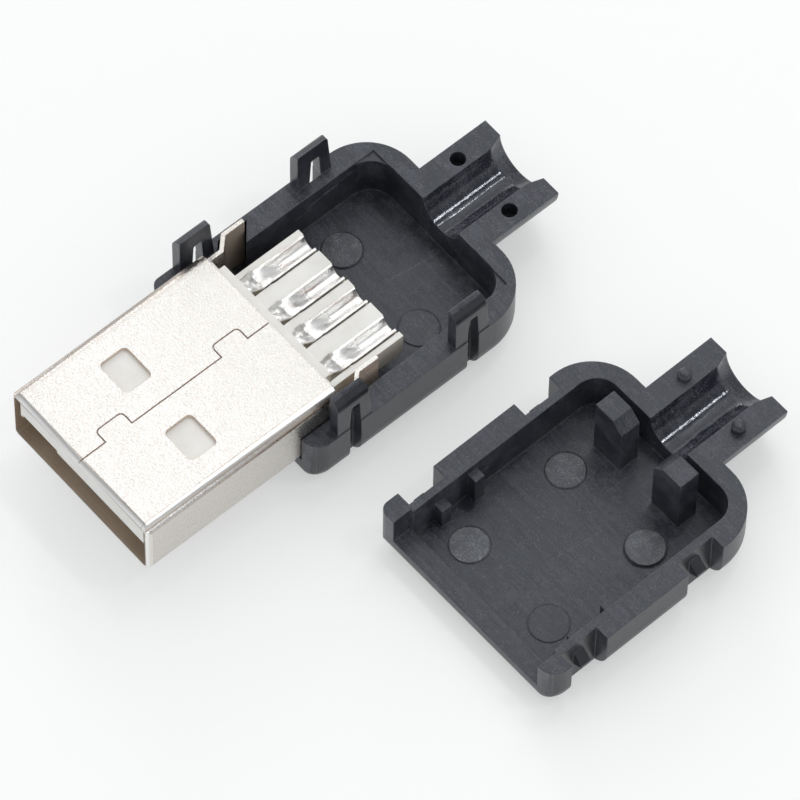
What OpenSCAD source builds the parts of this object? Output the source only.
// USB-A cable plug kit before closing: the plug with its four solder cups lies in
// the lower housing half, and the upper cover lies open beside it, inside up.
// Millimetres. +Z is up, +Y points to the cable end, +X to the side of the cover.
// The origin is the centre of the lower half's flat underside.

/* [Housing body] */
// Width of both halves // [13.6:0.1:16]
body_w = 14.6;
// Length of both halves without the cable tail // [15.5:0.1:18]
body_l = 16.5;
// Height of the lower half's parting rim // [4.1:0.05:4.8]
base_h = 4.35;
// Height of the upper cover's parting rim // [3.6:0.05:4.4]
cover_h = 3.95;
// Floor thickness of both halves // [0.8:0.05:1.2]
floor_t = 1.05;
// Side wall thickness beside the cavity // [1.35:0.05:1.6]
side_wall = 1.45;
// Rear wall thickness // [0.9:0.05:1.4]
rear_wall = 1.15;
// Plan radius of the two rear corners // [2.6:0.1:3.6]
rear_r = 3.3;
// Plan radius of the two front corners // [0.4:0.1:1.2]
front_r = 0.6;
// How far the front of the lower half stands out past the cover // [0:0.05:0.4]
nose = 0.2;
// Round along the bottom side and rear edges // [1.2:0.1:2]
edge_r = 1.9;
// Round along the bottom front edge // [0.8:0.1:1.6]
front_edge_r = 1.3;
// Inner corner radius at the rear of the lower cavity // [1:0.05:2]
base_corner_r = 1.65;
// Inner corner radius at the rear of the cover cavity // [1:0.05:2]
cover_corner_r = 1.5;
// Depth of the square-cornered step at the lower rim // [0.1:0.01:0.3]
rim_step = 0.15;

/* [Cable tail] */
// Radius of the half-round tail // [2.8:0.1:3.6]
tail_r = 3.2;
// Length of the tail behind the body // [4:0.1:6]
tail_l = 5.0;
// Radius of the half-round cable channel // [1.2:0.05:1.8]
cable_r = 1.55;
// Widening of the channel at its outer end // [0.1:0.05:0.5]
flare = 0.35;
// Length of the widened end // [0.6:0.1:1.5]
flare_l = 1.0;
// Half the distance between the two alignment pegs // [2.1:0.05:2.5]
peg_x = 2.25;
// Distance of the pegs behind the body // [1.6:0.1:3.4]
peg_back = 2.1;
// Radius of the alignment pegs // [0.3:0.02:0.5]
peg_r = 0.42;
// Radial clearance of a peg in its hole // [0.04:0.01:0.12]
peg_gap = 0.06;
// Height of the pegs over the cover rim // [0.4:0.05:0.9]
peg_h = 0.65;
// Depth of the peg holes in the lower half // [1:0.05:1.5]
peg_hole_d = 1.2;

/* [Latches] */
// Length of each latch plate along the wall // [2:0.1:3]
latch_l = 2.5;
// Thickness of each latch plate // [0.6:0.01:0.76]
latch_t = 0.7;
// Set-back of the plates from the wall face // [0.02:0.01:0.1]
latch_inset = 0.05;
// Height of the inner top edge of a plate // [7.4:0.05:7.9]
latch_top = 7.85;
// Height of the rounded lead-in at the outer side // [0.8:0.01:1.1]
latch_round = 0.93;
// Narrowing of a plate towards its top // [0:0.01:0.4]
latch_taper = 0.27;
// Width of the window in each plate at the rim // [0.8:0.05:1.1]
window_w = 0.85;
// Narrowing of the window towards its top // [0:0.01:0.3]
window_taper = 0.24;
// Height of the upper edge of that window // [6.2:0.05:6.8]
window_top = 6.5;
// Position of the front latches along the housing // [-5.8:0.1:-5.2]
latch_front_y = -5.48;
// Position of the rear latches along the housing // [2.6:0.1:3.6]
latch_rear_y = 3.27;
// Depth of the latch notches in the cover walls // [0.85:0.05:1.05]
notch_d = 0.95;
// Free length of a notch over its latch // [0.1:0.02:0.3]
notch_gap = 0.16;
// Width of the catch in each notch // [0.5:0.05:0.8]
catch_w = 0.7;
// Reach of each catch out of the notch // [0.4:0.05:0.8]
catch_out = 0.7;

/* [Plug shell] */
// Outside width of the metal shell // [11.9:0.05:12.1]
shell_w = 12.0;
// Outside height of the metal shell // [4.4:0.05:4.6]
shell_h = 4.5;
// Sheet thickness // [0.22:0.01:0.3]
sheet = 0.26;
// Outside bend radius // [0.45:0.05:0.7]
bend_r = 0.55;
// Reach of the shell in front of the housing // [11:0.05:12.2]
shell_reach = 11.38;
// Height of the shell's underside // [1.8:0.05:2.2]
shell_z = 2.0;
// Width of the four retention windows // [2.2:0.05:2.7]
hole_w = 2.5;
// Length of the four retention windows // [1.8:0.02:2.1]
hole_l = 1.96;
// Half the distance between two windows // [2.6:0.05:3.1]
hole_x = 2.85;
// Front edge of the windows behind the mouth // [4.7:0.05:5.3]
hole_back = 4.8;
// Width of the joint line along the top // [0.05:0.01:0.12]
seam = 0.08;
// Reach of the interlocking tabs across the joint // [0.6:0.05:1.1]
tab_reach = 0.88;
// Sideways step of the rear ears // [0.5:0.01:0.8]
ear_step = 0.77;

/* [Insulator and contacts] */
// Thickness of the tongue // [1.76:0.02:1.92]
tongue_t = 1.88;
// Half the tongue width // [5.2:0.05:5.4]
tongue_half = 5.4;
// Set-back of the tongue behind the mouth // [0.1:0.02:0.4]
tongue_back = 0.18;
// Half the width of the rear block // [4.4:0.05:4.7]
block_half = 4.6;
// Height of the ribs on the rear block // [4.2:0.05:4.4]
rib_top = 4.3;
// Rear end of the block // [0.1:0.05:0.6]
block_end = 0.35;
// Outside radius of a solder cup // [0.55:0.01:0.66]
cup_r = 0.63;
// Inside radius of a solder cup // [0.4:0.01:0.5]
cup_in_r = 0.47;
// Front end of the cups // [-3.8:0.05:-3.2]
cup_front = -3.5;
// Rear end of the cups // [0:0.05:0.3]
cup_end = 0.25;
// Height of the cup rims // [4.32:0.02:4.5]
cup_rim = 4.4;
// Distance of the inner contacts from the middle // [0.9:0.05:1.1]
inner_x = 1.0;
// Distance of the outer contacts from the middle // [3.4:0.05:3.6]
outer_x = 3.5;
// Width of the contact strips // [0.9:0.05:1.1]
strip_w = 1.0;
// Thickness of the contact strips // [0.2:0.01:0.3]
strip_t = 0.25;

/* [Upper cover] */
// Height of the ledge that bears on the shell // [1.7:0.05:2]
ledge_h = 1.8;
// Length of that ledge // [1:0.1:1.8]
ledge_l = 1.3;
// Height of the two cable posts // [5.2:0.05:6]
post_top = 5.7;
// Inner face of the posts from the middle // [1.2:0.02:1.5]
post_in = 1.34;
// Outer face of the posts from the middle // [3.2:0.02:3.7]
post_out = 3.53;
// Front face of the posts // [4.4:0.02:4.9]
post_front = 4.68;
// Length of the posts along the housing // [1.2:0.02:1.5]
post_l = 1.37;
// Slant at the inner top edge of the posts // [0.5:0.02:0.9]
post_slant = 0.76;
// Distance between the two halves as laid out // [18:0.1:21]
cover_x = 19.2;
// Shift of the laid-out cover toward the cable // [0:0.1:1]
cover_y = 0.5;
// Turn of the laid-out cover in degrees // [0:0.1:2]
cover_turn = 0.8;

/* [Hidden] */
eps = 0.01;
cut = 1.0;
half_w = body_w / 2;
half_l = body_l / 2;
cavity_half = half_w - side_wall;
cavity_end = half_l - rear_wall;
shell_gap = 0.05;
contact_gap = 0.02;

// latch details
latch_shift = 0.05;
latch_corner = 0.3;

// shell positions
mouth_y = -half_l - shell_reach;
shell_top = shell_z + shell_h;
shell_half = shell_w / 2;
shell_roof = shell_top - sheet;
shell_floor = shell_z + sheet;
shell_top_end = -half_l + 2.55;
plate_end = -half_l + 4.0;
ear_end = -half_l + 6.2;
plate_low = shell_z + 0.65;
ear_low = floor_t + 0.05;
ear_top = shell_top - 1.15;
hole_r = 0.35;
tab_l = 1.83;
tab_front_a = mouth_y + 2.0;
tab_front_b = mouth_y + 10.46;
tab_r = 0.25;
lead_in = 0.35;
lead_in_r = 0.445;

// pockets beside the ears and the seat of the shell in the housing
seat_half = shell_half + shell_gap;
seat_end = plate_end - 0.3;
pocket_out = 6.98;
pocket_end = ear_end + 0.55;
pocket_near = ear_end - 0.45;

// insulator positions
tongue_z = shell_roof - tongue_t;
core_front = mouth_y + 8.63;
core_end = -half_l + 2.05;
core_half = shell_half - sheet - shell_gap;
flange_half = block_half + 0.05;
flange_end = -half_l + 3.15;
flange_top = shell_roof - shell_gap;
wing_half = 5.3;
wing_end = flange_end - 0.4;
block_low = 2.5;
block_r = 0.5;

// contact positions
groove_d = 0.15;
strip_top = tongue_z + groove_d;
neck_w = 0.6;
neck_left = 0.6;
neck_right = 0.3;
neck_top = rib_top - 0.08;
neck_low = neck_top - 0.3;
slot_w = 0.42;
slot_low = block_low + 0.6;
cup_side_gap = 0.07;
inner_front = mouth_y + 1.33;
outer_front = mouth_y + 0.73;
strip_end = flange_end - 0.6;
cup_axis = cup_rim - 0.1;
cup_centre = cup_front + cup_r;

metal = [0.80, 0.79, 0.77];
light = [0.88, 0.88, 0.86];
silver = [0.75, 0.75, 0.74];
black = [0.10, 0.10, 0.11];

// ---------------------------------------------------------------- shared forms

// A flat shape drawn in X and Z, drawn out along Y from y0 to y1.
module along_y(y0, y1) {
    translate([0, y1, 0])
        rotate([90, 0, 0])
            linear_extrude(y1 - y0)
                children();
}

// A flat shape drawn in Y and Z, drawn out along X from x0 to x1.
module along_x(x0, x1) {
    translate([x0, 0, 0])
        rotate([90, 0, 90])
            linear_extrude(x1 - x0)
                children();
}

// A block given by its low and high corners.
module block(low, high) {
    translate(low)
        cube(high - low);
}

// A rectangle with four round corners, given by its low and high corners.
module round_rect(low, high, r) {
    translate([low.x + r, low.y])
        square([high.x - low.x - 2 * r, high.y - low.y]);
    translate([low.x, low.y + r])
        square([high.x - low.x, high.y - low.y - 2 * r]);
    for (x = [low.x + r, high.x - r])
        for (y = [low.y + r, high.y - r])
            translate([x, y])
                circle(r, $fn = 32);
}

// Half of the section through a rounded bottom edge, up to height h.
module edge_section(width, h) {
    translate([0, edge_r])
        square([width, h - edge_r]);
    square([width - edge_r, h]);
    translate([width - edge_r, edge_r])
        intersection() {
            circle(edge_r, $fn = 64);
            translate([0, -edge_r])
                square(edge_r);
        }
}

// The outside of one housing half without its tail; its front lies at y0.
module body_outside(h, y0) {
    puck_x = half_w - rear_r;
    puck_y = half_l - rear_r;
    difference() {
        union() {
            along_y(y0, puck_y) {
                edge_section(half_w, h);
                mirror([1, 0])
                    edge_section(half_w, h);
            }
            along_x(-puck_x, puck_x)
                edge_section(half_l, h);
            for (x = [-puck_x, puck_x])
                translate([x, puck_y, 0])
                    rotate_extrude($fn = 96)
                        edge_section(rear_r, h);
        }
        // round front corners
        for (side = [0, 1])
            mirror([side, 0, 0])
                translate([half_w - front_r, y0 + front_r, -cut])
                    difference() {
                        translate([0, -front_r - cut, 0])
                            cube([front_r + cut, front_r + cut, h + 2 * cut]);
                        cylinder(h + 2 * cut, r = front_r, $fn = 64);
                    }
        // round lower front edge
        along_x(-half_w - cut, half_w + cut)
            difference() {
                translate([y0 - cut, -cut])
                    square([front_edge_r + cut, front_edge_r + cut]);
                translate([y0 + front_edge_r, front_edge_r])
                    circle(front_edge_r, $fn = 64);
            }
    }
}

// The half-round tail of one housing half.
module tail_outside(h) {
    intersection() {
        translate([0, 0, h])
            along_y(half_l - eps, half_l + tail_l)
                circle(tail_r, $fn = 96);
        block([-tail_r - cut, half_l - cut, 0], [tail_r + cut, half_l + tail_l + cut, h]);
    }
}

// The room taken by the cable, with its flared outer end.
module cable_room(h) {
    translate([0, 0, h])
        along_y(cavity_end - cut, half_l + tail_l + cut)
            circle(cable_r, $fn = 64);
    translate([0, half_l + tail_l - flare_l, h])
        rotate([-90, 0, 0])
            cylinder(flare_l + eps, r1 = cable_r, r2 = cable_r + flare, $fn = 64);
}

// Plan of the cavity, with round rear corners.
module cavity_plan(half, y0, r) {
    translate([-half, y0])
        square([2 * half, cavity_end - r - y0]);
    translate([-half + r, y0])
        square([2 * half - 2 * r, cavity_end - y0]);
    for (x = [-half + r, half - r])
        translate([x, cavity_end - r])
            circle(r, $fn = 64);
}

// --------------------------------------------------------------- lower housing

// Section of a latch plate on the right wall, with its rounded lead-in.
module latch_section() {
    outer = half_w - latch_inset;
    inner = outer - latch_t;
    round_z = latch_top - latch_round;
    // radius of the arc that meets the outer face smoothly
    r = (latch_t * latch_t + latch_round * latch_round) / (2 * latch_t);
    translate([inner, base_h - cut])
        square([latch_t, round_z - base_h + cut]);
    intersection() {
        translate([outer - r, round_z])
            circle(r, $fn = 128);
        translate([inner, round_z - eps])
            square([latch_t, latch_round + cut]);
    }
}

// One latch plate on the right wall: upright in front, drawn in at the rear.
module latch(y) {
    y0 = y - latch_l / 2 - latch_shift;
    y1 = y + latch_l / 2 - latch_shift;
    top1 = y1 - latch_taper;
    intersection() {
        along_y(y0, y1)
            latch_section();
        along_x(half_w - 1.5, half_w)
            union() {
                polygon([[y0, base_h - cut],
                         [y1, base_h - cut],
                         [y1, base_h],
                         [top1, latch_top - latch_corner],
                         [top1 - latch_corner, latch_top],
                         [y0, latch_top]]);
                translate([top1 - latch_corner, latch_top - latch_corner])
                    circle(latch_corner, $fn = 48);
            }
    }
}

// Plan of a latch window drawn in Y and Z, from height z0.
module window_shape(y, z0) {
    low = window_w / 2;
    top = low - window_taper / 2;
    c = 0.1;
    polygon([[y - low, z0],
             [y + low, z0],
             [y + low, base_h],
             [y + top, window_top - c],
             [y + top - c, window_top],
             [y - top + c, window_top],
             [y - top, window_top - c],
             [y - low, base_h]]);
}

// Window through a plate, running on as a groove down the wall below.
module latch_window(y) {
    inner = half_w - latch_inset - latch_t;
    along_x(inner, half_w + cut)
        window_shape(y, -cut);
    along_x(inner - cut / 4, half_w + cut)
        window_shape(y, base_h - eps);
}

// Room for the left ear of the shell, which steps out past the cavity wall.
module ear_pocket() {
    slope = pocket_out - seat_half;
    translate([0, 0, floor_t])
        linear_extrude(base_h)
            polygon([[-cavity_half + cut, seat_end],
                     [-seat_half, seat_end],
                     [-pocket_out, seat_end + slope],
                     [-pocket_out, pocket_end],
                     [-cavity_half, pocket_near],
                     [-cavity_half + cut, pocket_near]]);
}

// Room for the right side plate up to where it steps in.
module plate_pocket() {
    block([cavity_half - cut, seat_end, floor_t],
          [seat_half, plate_end + shell_gap + sheet, base_h + cut]);
}

module lower_housing() {
    color(black)
        difference() {
            union() {
                body_outside(base_h, -half_l - nose);
                tail_outside(base_h);
                for (side = [0, 1])
                    mirror([side, 0, 0]) {
                        latch(latch_front_y);
                        latch(latch_rear_y);
                    }
            }
            // cavity behind the saddle that carries the shell
            difference() {
                translate([0, 0, floor_t])
                    linear_extrude(base_h)
                        cavity_plan(cavity_half, seat_end, base_corner_r);
                // mould ejector marks stand a little over the floor
                translate([-3.4, 2.6, 0])
                    cylinder(floor_t + 0.09, r = 1.2, $fn = 48);
                translate([3.4, 2.6, 0])
                    cylinder(floor_t + 0.04, r = 1.2, $fn = 48);
            }
            block([-cavity_half, 0, base_h - rim_step],
                  [cavity_half, cavity_end - 0.05, base_h + cut]);
            // open seat of the shell
            block([-seat_half, -half_l - cut, shell_z], [seat_half, seat_end + eps, base_h + cut]);
            ear_pocket();
            plate_pocket();
            for (side = [0, 1])
                mirror([side, 0, 0]) {
                    latch_window(latch_front_y);
                    latch_window(latch_rear_y);
                    translate([peg_x, half_l + peg_back, base_h - peg_hole_d])
                        cylinder(peg_hole_d + cut, r = peg_r + peg_gap, $fn = 32);
                }
            cable_room(base_h);
        }
}

// ----------------------------------------------------------------- upper cover

// A latch notch through the right wall, with its wedge-shaped catch.
module notch(y) {
    len = latch_l + notch_gap;
    back = half_w - notch_d;
    difference() {
        block([back, y - len / 2, -cut], [half_w + cut, y + len / 2, cover_h + cut]);
        along_y(y - catch_w / 2, y + catch_w / 2)
            polygon([[back - eps, 3.0],
                     [back + catch_out, 2.35],
                     [back + catch_out, 2.1],
                     [back - eps, 1.75]]);
    }
}

// One of the two posts that hold the cable, right side.
module cable_post() {
    along_y(post_front, post_front + post_l)
        polygon([[post_in, floor_t - eps],
                 [post_out, floor_t - eps],
                 [post_out, post_top],
                 [post_in + post_slant, post_top],
                 [post_in, post_top - post_slant]]);
}

// A rib on the right inner wall that steadies the shell.
module wall_rib(y, top) {
    block([cavity_half - 0.63, y, floor_t - eps], [cavity_half + 0.2, y + 0.7, top]);
}

// The cover in its own frame, inside up.
module cover_body() {
    difference() {
        union() {
            body_outside(cover_h, -half_l);
            tail_outside(cover_h);
        }
        translate([0, 0, floor_t])
            linear_extrude(cover_h)
                cavity_plan(cavity_half, -half_l + ledge_l, cover_corner_r);
        // front opening over the bearing ledge
        block([-seat_half, -half_l - cut, ledge_h],
              [seat_half, -half_l + ledge_l + eps, cover_h + cut]);
        for (side = [0, 1])
            mirror([side, 0, 0]) {
                notch(latch_front_y);
                notch(latch_rear_y);
            }
        cable_room(cover_h);
    }
    for (side = [0, 1])
        mirror([side, 0, 0]) {
            cable_post();
            wall_rib(-2.82, 3.3);
            wall_rib(-5.3, 2.8);
            translate([peg_x, half_l + peg_back, cover_h - eps]) {
                cylinder(peg_h - peg_r / 2, r = peg_r, $fn = 32);
                translate([0, 0, peg_h - peg_r / 2])
                    cylinder(peg_r / 2, r1 = peg_r, r2 = peg_r / 2, $fn = 32);
            }
        }
    // mould ejector marks on the floor
    translate([3.35, 2.4, floor_t - eps])
        cylinder(0.2, r = 1.18, $fn = 48);
    translate([-3.35, 2.4, floor_t - eps])
        cylinder(0.06, r = 1.18, $fn = 48);
    translate([-3.35, -4.9, floor_t - eps])
        cylinder(0.06, r = 1.18, $fn = 48);
    translate([3.35, -4.9, floor_t - eps])
        cylinder(0.04, r = 1.18, $fn = 48);
}

module upper_cover() {
    color(black)
        translate([cover_x, cover_y, 0])
            rotate([0, 0, cover_turn])
                cover_body();
}

// ------------------------------------------------------------------ plug shell

// The outline of one joint tab, grown by g; it starts right of the joint.
module tab_plan(y, g) {
    translate([-tab_reach - g, 0])
        round_rect([0, y - g], [tab_reach, y + tab_l + g], tab_r + g);
    translate([-tab_reach / 2, y - g])
        square([tab_reach / 2 + 0.3 + g, tab_l + 2 * g]);
}

// The joint line along the top: a narrow slit that runs round both tabs.
module joint_plan() {
    difference() {
        union() {
            translate([-seam / 2, mouth_y - cut])
                square([seam, shell_top_end - mouth_y + 2 * cut]);
            intersection() {
                union() {
                    tab_plan(tab_front_a, seam);
                    tab_plan(tab_front_b, seam);
                }
                translate([-2 * tab_reach, mouth_y])
                    square([2 * tab_reach + seam / 2, shell_top_end - mouth_y]);
            }
        }
        tab_plan(tab_front_a, 0);
        tab_plan(tab_front_b, 0);
    }
}

// Plan of the bent ear behind a side plate; outer face of the plate at x.
module ear_plan(x) {
    k = sheet * tan(22.5);
    y1 = plate_end;
    polygon([[x, y1 - sheet],
             [x, y1],
             [x - ear_step, y1 + ear_step],
             [x - ear_step, ear_end],
             [x - sheet - ear_step, ear_end],
             [x - sheet - ear_step, y1 + ear_step - k],
             [x - sheet, y1 - k],
             [x - sheet, y1 - sheet]]);
}

// Outline of the shell with its front edges drawn in, for x or z from low to high.
module lead_in_shape(low, high) {
    for (mid = [low + lead_in_r, high - lead_in_r])
        intersection() {
            translate([mouth_y + lead_in, mid])
                circle(lead_in_r, $fn = 96);
            translate([mouth_y, low])
                square([lead_in + eps, high - low]);
        }
    translate([mouth_y, low + lead_in_r])
        square([lead_in + eps, high - low - 2 * lead_in_r]);
    translate([mouth_y + lead_in, low])
        square([shell_top_end - mouth_y - lead_in, high - low]);
}

// The drawn sheet box of the shell before the windows are cut.
module shell_box() {
    intersection() {
        along_y(mouth_y, shell_top_end)
            difference() {
                round_rect([-shell_half, shell_z], [shell_half, shell_top], bend_r);
                round_rect([-shell_half + sheet, shell_floor],
                           [shell_half - sheet, shell_roof], bend_r - sheet);
            }
        along_x(-shell_half - cut, shell_half + cut)
            lead_in_shape(shell_z, shell_top);
        mirror([1, 0, 0])
            rotate([0, 0, 90])
                linear_extrude(shell_top + cut)
                    lead_in_shape(-shell_half, shell_half);
    }
}

module plug_shell() {
    color(metal) {
        difference() {
            shell_box();
            for (x = [-hole_x, hole_x])
                translate([0, 0, shell_z - cut])
                    linear_extrude(shell_h + 2 * cut)
                        round_rect([x - hole_w / 2, mouth_y + hole_back],
                                   [x + hole_w / 2, mouth_y + hole_back + hole_l], hole_r);
            translate([0, 0, shell_roof - eps])
                linear_extrude(sheet + cut)
                    joint_plan();
        }
        // bottom wall runs on under the rear block
        block([-shell_half + bend_r, shell_top_end - eps, shell_z],
              [shell_half - bend_r, seat_end, shell_floor]);
        // side plates
        for (x = [-shell_half, shell_half - sheet])
            block([x, shell_top_end - eps, plate_low],
                  [x + sheet, plate_end - sheet + eps, ear_top]);
        // their ears
        for (x = [-shell_half + sheet, shell_half])
            translate([0, 0, ear_low])
                linear_extrude(ear_top - ear_low)
                    ear_plan(x);
    }
}

// ------------------------------------------------------------------- insulator

// Room cut into the insulator for one contact.
module contact_room(x, front) {
    w = strip_w / 2 + contact_gap;
    nw = neck_w / 2 + contact_gap;
    r = cup_r + contact_gap;
    left = neck_left + contact_gap;
    slot_right = neck_right + slot_w;
    // groove under the tongue and tunnel through the core
    block([x - w, front - contact_gap, tongue_z - cut / 2], [x + w, core_front + eps, strip_top]);
    block([x - w, core_front - eps, neck_low], [x + w, strip_end + contact_gap, strip_top]);
    block([x - nw, strip_end - eps, neck_low], [x + nw, flange_end + eps, neck_top + contact_gap]);
    // open room of the neck
    translate([x, 0, neck_low])
        linear_extrude(rib_top)
            polygon([[-left, flange_end],
                     [slot_right, flange_end],
                     [r, cup_centre],
                     [-r, cup_centre]]);
    // cup trough in the rear block, a little wide on the right
    for (gap = [0, cup_side_gap]) {
        translate([x + gap, 0, cup_axis])
            along_y(cup_centre, block_end + cut)
                circle(r, $fn = 48);
        translate([x + gap, cup_centre, cup_axis])
            sphere(r, $fn = 48);
    }
    // deep slot right of the neck
    translate([x, 0, slot_low])
        linear_extrude(rib_top)
            polygon([[neck_right, flange_end],
                     [slot_right, flange_end],
                     [r, cup_centre],
                     [cup_in_r, cup_centre]]);
}

// Side view of the rear block with its rounded lower rear edge.
module rear_block_section() {
    translate([flange_end - eps, block_low + block_r])
        square([block_end - flange_end + eps, rib_top - block_low - block_r]);
    translate([flange_end - eps, block_low])
        square([block_end - block_r - flange_end + eps, rib_top - block_low]);
    translate([block_end - block_r, block_low + block_r])
        circle(block_r, $fn = 64);
}

module insulator() {
    color(light)
        difference() {
            union() {
                block([-tongue_half, mouth_y + tongue_back, tongue_z],
                      [tongue_half, core_front + eps, shell_roof]);
                along_y(core_front, core_end)
                    round_rect([-core_half, shell_floor], [core_half, shell_roof], 0.35);
                block([-flange_half, core_end - eps, block_low],
                      [flange_half, flange_end, flange_top]);
                block([-wing_half, core_end - eps, block_low], [wing_half, wing_end, flange_top]);
                along_x(-block_half, block_half)
                    rear_block_section();
            }
            contact_room(-outer_x, outer_front);
            contact_room(-inner_x, inner_front);
            contact_room(inner_x, inner_front);
            contact_room(outer_x, outer_front);
            // relief under the front left corner of the tongue
            block([-tongue_half + 0.2, mouth_y, tongue_z - cut],
                  [-2.2, mouth_y + tongue_back + 0.4, tongue_z + 0.25]);
        }
}

// -------------------------------------------------------------------- contacts

// The half-round trough of a cup with a closed round front end.
module cup_solid(r, y_end) {
    intersection() {
        union() {
            translate([0, 0, cup_axis])
                along_y(cup_centre, y_end)
                    circle(r, $fn = 48);
            translate([0, cup_centre, cup_axis])
                sphere(r, $fn = 48);
        }
        block([-r - cut, cup_front - cut, 0], [r + cut, y_end + cut, cup_axis]);
    }
    translate([0, 0, cup_axis - eps])
        linear_extrude(cup_rim - cup_axis + eps) {
            translate([0, cup_centre])
                circle(r, $fn = 48);
            translate([-r, cup_centre])
                square([2 * r, y_end - cup_centre]);
        }
}

// A contact whose pad starts at y = front.
module contact(x, front) {
    color(silver)
        translate([x, 0, 0])
            difference() {
                union() {
                    block([-strip_w / 2, front, strip_top - strip_t],
                          [strip_w / 2, strip_end, strip_top]);
                    block([-neck_w / 2, strip_end - 0.3, neck_low],
                          [neck_w / 2, strip_end, strip_top]);
                    block([-neck_w / 2, strip_end - 0.3, neck_low],
                          [neck_w / 2, flange_end + contact_gap + eps, neck_top]);
                    translate([0, 0, neck_low])
                        linear_extrude(neck_top - neck_low)
                            polygon([[-neck_left, flange_end + contact_gap],
                                     [neck_right, flange_end + contact_gap],
                                     [cup_in_r, cup_centre],
                                     [-cup_in_r, cup_centre]]);
                    cup_solid(cup_r, cup_end);
                }
                translate([0, 0, eps])
                    cup_solid(cup_in_r, cup_end + cut);
                block([-cup_in_r + 0.1, cup_centre, cup_rim - eps],
                      [cup_in_r - 0.1, cup_end, cup_rim + cut]);
            }
}

module contact_power() {
    contact(-outer_x, outer_front);
}

module contact_data_minus() {
    contact(-inner_x, inner_front);
}

module contact_data_plus() {
    contact(inner_x, inner_front);
}

module contact_ground() {
    contact(outer_x, outer_front);
}

plug_shell();
insulator();
contact_power();
contact_data_minus();
contact_data_plus();
contact_ground();
lower_housing();
upper_cover();
